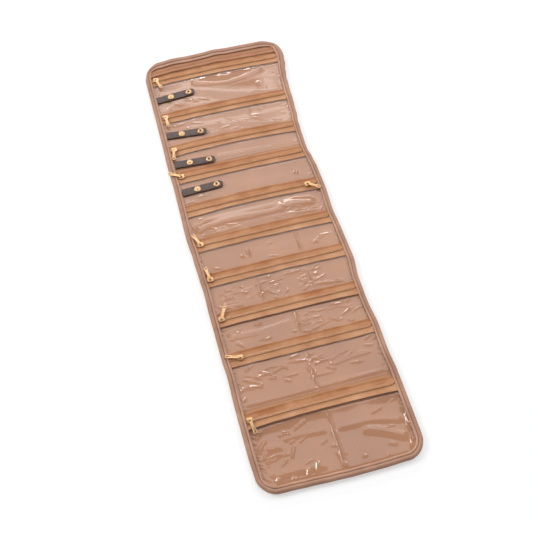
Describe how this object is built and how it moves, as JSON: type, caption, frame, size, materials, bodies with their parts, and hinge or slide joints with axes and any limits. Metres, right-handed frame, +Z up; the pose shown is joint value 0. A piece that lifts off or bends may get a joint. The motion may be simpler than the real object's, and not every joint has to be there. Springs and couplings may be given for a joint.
{
  "type": "jewelry roll",
  "caption": "Padded fabric jewelry roll opened flat, with clear zipped pockets in a row, snap straps for rings, brass pulls and a rolled binding; it folds along its zips into a bundle.",
  "frame": {"origin": "middle of the underside, on the table", "axes": "+X across the roll towards the picture's right, +Y along the roll towards the header end, +Z up out of the pockets"},
  "size_m": [0.241, 0.805, 0.0114],
  "materials": {
    "cover_fabric": "matt woven cloth",
    "lining_fabric": "satin cloth on thin foam",
    "zip_fabric": "woven tape with polyester coil",
    "clear_film": "glossy clear vinyl film",
    "brass": "polished gilt",
    "strap_leather": "matt leather with brass snaps"
  },
  "bodies": {
    "panel_1": {"cover_1": "cover_fabric", "lining_1": "lining_fabric", "window_1": "clear_film", "window_2": "clear_film", "window_3": "clear_film", "zip_1": "zip_fabric", "zip_2": "zip_fabric", "zip_3": "zip_fabric", "strap_1": "strap_leather", "strap_2": "strap_leather", "strap_3": "strap_leather"},
    "panel_2": {"cover_2": "cover_fabric", "lining_2": "lining_fabric", "window_4": "clear_film", "window_5": "clear_film", "zip_4": "zip_fabric", "zip_5": "zip_fabric", "zip_6": "zip_fabric", "strap_4": "strap_leather"},
    "panel_3": {"cover_3": "cover_fabric", "lining_3": "lining_fabric", "window_6": "clear_film", "window_7": "clear_film", "zip_7": "zip_fabric", "zip_8": "zip_fabric"},
    "panel_4": {"cover_4": "cover_fabric", "lining_4": "lining_fabric", "window_8": "clear_film", "window_9": "clear_film", "zip_9": "zip_fabric"},
    "panel_5": {"cover_5": "cover_fabric", "lining_5": "lining_fabric", "window_10": "clear_film", "zip_10": "zip_fabric"},
    "runner_1": {"slider_1": "brass"},
    "runner_2": {"slider_2": "brass"},
    "runner_3": {"slider_3": "brass"},
    "runner_4": {"slider_4": "brass"},
    "runner_5": {"slider_5": "brass"},
    "runner_6": {"slider_6": "brass"},
    "runner_7": {"slider_7": "brass"},
    "runner_8": {"slider_8": "brass"},
    "runner_9": {"slider_9": "brass"},
    "runner_10": {"slider_10": "brass"},
    "tab_1": {"pull_1": "brass"},
    "tab_2": {"pull_2": "brass"},
    "tab_3": {"pull_3": "brass"},
    "tab_4": {"pull_4": "brass"},
    "tab_5": {"pull_5": "brass"},
    "tab_6": {"pull_6": "brass"},
    "tab_7": {"pull_7": "brass"},
    "tab_8": {"pull_8": "brass"},
    "tab_9": {"pull_9": "brass"},
    "tab_10": {"pull_10": "brass"},
    "flap_1": {"strap_flap_1": "strap_leather"},
    "flap_2": {"strap_flap_2": "strap_leather"},
    "flap_3": {"strap_flap_3": "strap_leather"},
    "flap_4": {"strap_flap_4": "strap_leather"}
  },
  "joints": [
    {"name": "fold_1", "type": "hinge", "parent": "panel_1", "child": "panel_2", "pos_m": [0, 0.1545, 0.034], "axis": [-1, 0, 0], "range_deg": [0, 179]},
    {"name": "fold_2", "type": "hinge", "parent": "panel_2", "child": "panel_3", "pos_m": [0, -0.011, 0.027], "axis": [-1, 0, 0], "range_deg": [0, 179]},
    {"name": "fold_3", "type": "hinge", "parent": "panel_3", "child": "panel_4", "pos_m": [0, -0.1455, 0.0195], "axis": [-1, 0, 0], "range_deg": [0, 179]},
    {"name": "fold_4", "type": "hinge", "parent": "panel_4", "child": "panel_5", "pos_m": [0, -0.277, 0.012], "axis": [-1, 0, 0], "range_deg": [0, 179]},
    {"name": "zip_run_1", "type": "slide", "parent": "panel_1", "child": "runner_1", "axis": [1, 0, 0], "range_m": [-0.0023, 0.1973]},
    {"name": "zip_run_2", "type": "slide", "parent": "panel_1", "child": "runner_2", "axis": [1, 0, 0], "range_m": [-0.001, 0.1986]},
    {"name": "zip_run_3", "type": "slide", "parent": "panel_1", "child": "runner_3", "axis": [1, 0, 0], "range_m": [0, 0.1996]},
    {"name": "zip_run_4", "type": "slide", "parent": "panel_2", "child": "runner_4", "axis": [1, 0, 0], "range_m": [0, 0.1996]},
    {"name": "zip_run_5", "type": "slide", "parent": "panel_2", "child": "runner_5", "axis": [1, 0, 0], "range_m": [-0.1933, 0.0063]},
    {"name": "zip_run_6", "type": "slide", "parent": "panel_2", "child": "runner_6", "axis": [1, 0, 0], "range_m": [0, 0.1996]},
    {"name": "zip_run_7", "type": "slide", "parent": "panel_3", "child": "runner_7", "axis": [1, 0, 0], "range_m": [0, 0.1996]},
    {"name": "zip_run_8", "type": "slide", "parent": "panel_3", "child": "runner_8", "axis": [1, 0, 0], "range_m": [0, 0.1996]},
    {"name": "zip_run_9", "type": "slide", "parent": "panel_4", "child": "runner_9", "axis": [1, 0, 0], "range_m": [-0.0113, 0.1883]},
    {"name": "zip_run_10", "type": "slide", "parent": "panel_5", "child": "runner_10", "axis": [1, 0, 0], "range_m": [0, 0.1996]},
    {"name": "pull_swing_1", "type": "hinge", "parent": "runner_1", "child": "tab_1", "pos_m": [-0.1, 0.3565, 0.00954], "axis": [-0.9659, -0.2588, 0], "range_deg": [0, 180]},
    {"name": "pull_swing_2", "type": "hinge", "parent": "runner_2", "child": "tab_2", "pos_m": [-0.1013, 0.2685, 0.00954], "axis": [-0.9986, -0.0523, 0], "range_deg": [0, 180]},
    {"name": "pull_swing_3", "type": "hinge", "parent": "runner_3", "child": "tab_3", "pos_m": [-0.1023, 0.1965, 0.00954], "axis": [-0.9781, 0.2079, 0], "range_deg": [0, 180]},
    {"name": "pull_swing_4", "type": "hinge", "parent": "runner_4", "child": "tab_4", "pos_m": [-0.1023, 0.1395, 0.00954], "axis": [0.4695, 0.8829, 0], "range_deg": [0, 180]},
    {"name": "pull_swing_5", "type": "hinge", "parent": "runner_5", "child": "tab_5", "pos_m": [0.091, 0.0715, 0.00954], "axis": [-0.5878, -0.809, 0], "range_deg": [0, 180]},
    {"name": "pull_swing_6", "type": "hinge", "parent": "runner_6", "child": "tab_6", "pos_m": [-0.1023, 0.004, 0.00954], "axis": [0.9205, 0.3907, 0], "range_deg": [0, 180]},
    {"name": "pull_swing_7", "type": "hinge", "parent": "runner_7", "child": "tab_7", "pos_m": [-0.1023, -0.0605, 0.00954], "axis": [0.9925, 0.1219, 0], "range_deg": [0, 180]},
    {"name": "pull_swing_8", "type": "hinge", "parent": "runner_8", "child": "tab_8", "pos_m": [-0.1023, -0.1305, 0.00954], "axis": [0.891, -0.454, 0], "range_deg": [0, 180]},
    {"name": "pull_swing_9", "type": "hinge", "parent": "runner_9", "child": "tab_9", "pos_m": [-0.091, -0.197, 0.00954], "axis": [0.2924, 0.9563, 0], "range_deg": [0, 180]},
    {"name": "pull_swing_10", "type": "hinge", "parent": "runner_10", "child": "tab_10", "pos_m": [-0.1023, -0.292, 0.00954], "axis": [-0.9848, -0.1736, 0], "range_deg": [0, 180]},
    {"name": "strap_turn_1", "type": "hinge", "parent": "panel_1", "child": "flap_1", "pos_m": [-0.06638, 0.31413, 0.0084], "axis": [0.0924, -0.9957, 0], "range_deg": [0, 178]},
    {"name": "strap_turn_2", "type": "hinge", "parent": "panel_1", "child": "flap_2", "pos_m": [-0.06639, 0.22638, 0.0084], "axis": [-0.0872, -0.9962, 0], "range_deg": [0, 178]},
    {"name": "strap_turn_3", "type": "hinge", "parent": "panel_1", "child": "flap_3", "pos_m": [-0.06652, 0.16433, 0.0084], "axis": [-0.0523, -0.9986, 0], "range_deg": [0, 178]},
    {"name": "strap_turn_4", "type": "hinge", "parent": "panel_2", "child": "flap_4", "pos_m": [-0.06656, 0.11001, 0.0084], "axis": [0.0436, -0.999, 0], "range_deg": [0, 178]}
  ]
}
